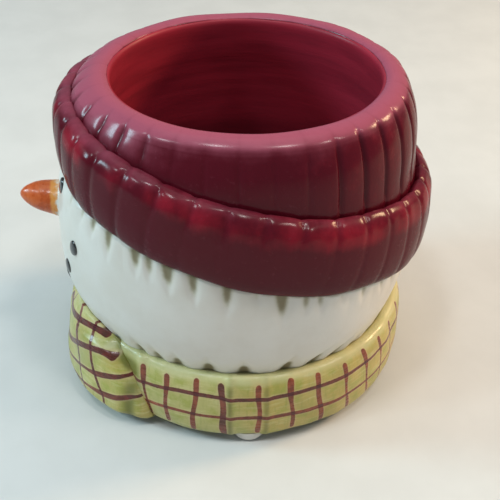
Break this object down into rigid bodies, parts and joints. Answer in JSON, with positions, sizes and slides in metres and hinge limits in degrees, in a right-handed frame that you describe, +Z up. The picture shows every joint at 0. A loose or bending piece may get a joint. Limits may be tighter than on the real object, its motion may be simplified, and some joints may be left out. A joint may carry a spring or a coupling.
{
  "type": "snowman head pot",
  "caption": "Wide-mouthed glazed ceramic pot shaped as a snowman's head, with a ribbed rolled-brim hat, carrot nose, coal smile, plaid scarf and short round feet.",
  "frame": {"origin": "centre of the bounding box's base, on the surface the feet stand on", "axes": "+Z up out of the pot's mouth, the face looks along -Y, +X is the snowman's left"},
  "size_m": [0.1344, 0.149, 0.1173],
  "materials": {
    "maroon_glaze": "satin-gloss maroon glaze over ribs",
    "lining_glaze": "brushed deep red glaze",
    "white_glaze": "satin white glaze with brown wash in the creases",
    "scarf_glaze": "satin yellow-green glaze with brushed maroon plaid lines",
    "nose_glaze": "satin orange glaze",
    "coal_glaze": "gloss black glaze",
    "plain_underside": "bare matte ceramic"
  },
  "bodies": {
    "root": {"inner_well": "lining_glaze", "hat_crown": "maroon_glaze", "hat_cuff": "maroon_glaze", "head_shell": "white_glaze", "scarf_band": "scarf_glaze", "scarf_knot": "scarf_glaze", "base_dish": "plain_underside", "carrot_nose": "nose_glaze", "eye_left": "coal_glaze", "eye_right": "coal_glaze", "mouth_coal_1": "coal_glaze", "mouth_coal_2": "coal_glaze", "mouth_coal_3": "coal_glaze", "mouth_coal_4": "coal_glaze", "mouth_coal_5": "coal_glaze", "mouth_coal_6": "coal_glaze", "mouth_coal_7": "coal_glaze", "foot_1": "white_glaze", "foot_2": "white_glaze", "foot_3": "white_glaze"}
  },
  "joints": []
}
